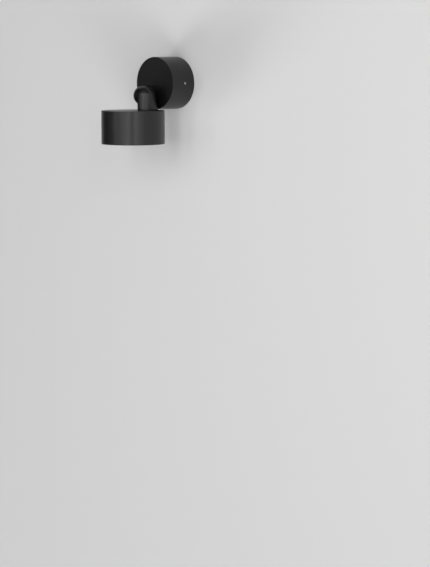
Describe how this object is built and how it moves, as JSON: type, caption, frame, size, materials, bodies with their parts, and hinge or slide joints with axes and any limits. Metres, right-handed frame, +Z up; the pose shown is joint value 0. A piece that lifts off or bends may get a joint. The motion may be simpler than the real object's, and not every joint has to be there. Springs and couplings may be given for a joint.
{
  "type": "pivoting spotlight wall light",
  "caption": "Wall spotlight with a short round canopy, a domed two-part knuckle at its lower edge and a wider round drum head that tilts from straight down to straight out.",
  "frame": {"origin": "on the wall, on the axis of the round canopy", "axes": "+Z up, +Y into the wall, so the light stands out towards -Y; +X is to the right seen from the room"},
  "size_m": [0.0904, 0.1312, 0.1229],
  "materials": {
    "powder_black": "matt black fine-texture powder coat",
    "galvanised": "bright zinc plate",
    "steel": "bright steel",
    "black_rubber": "matt EPDM",
    "white_plastic": "moulded, satin",
    "clear_nylon": "natural polyamide",
    "acetal": "black acetal",
    "brass": "plain",
    "bare_aluminium": "mill finish",
    "reflector_aluminium": "bright anodised",
    "solder_mask": "white solder mask on aluminium",
    "phosphor": "yellow phosphor under clear gel",
    "silicone": "translucent silicone",
    "clear_glass": "clear toughened glass"
  },
  "bodies": {
    "base": {"wall_plate": "galvanised", "cable_grommet": "black_rubber", "led_driver": "white_plastic", "driver_screws": "steel", "terminal_block": "clear_nylon", "terminal_screws": "brass", "block_screw": "steel", "earth_screw": "brass", "base_canopy": "powder_black", "canopy_grub_screws": "steel", "base_gasket": "black_rubber", "base_knuckle": "powder_black", "base_knuckle_screws": "steel", "hinge_bush": "acetal", "hinge_washer": "steel", "tilt_stop_pin": "steel", "knuckle_plug": "powder_black"},
    "head": {"head_knuckle": "powder_black", "hinge_tube": "steel", "hinge_spring_washer": "steel", "hinge_nut": "steel", "head_gasket": "black_rubber", "head_knuckle_screws": "steel", "lead_grommet": "black_rubber", "head_housing": "powder_black", "heat_sink": "bare_aluminium", "heat_sink_screws": "steel", "led_board": "solder_mask", "led_emitter": "phosphor", "led_holder": "white_plastic", "holder_screws": "steel", "reflector": "reflector_aluminium", "glass_seal": "silicone", "cover_glass": "clear_glass", "bezel_ring": "powder_black", "bezel_screws": "steel"}
  },
  "joints": [
    {"name": "head_tilt", "type": "hinge", "parent": "base", "child": "head", "pos_m": [0, -0.0636, -0.0173], "axis": [-1, 0, 0], "range_deg": [0, 90]}
  ]
}
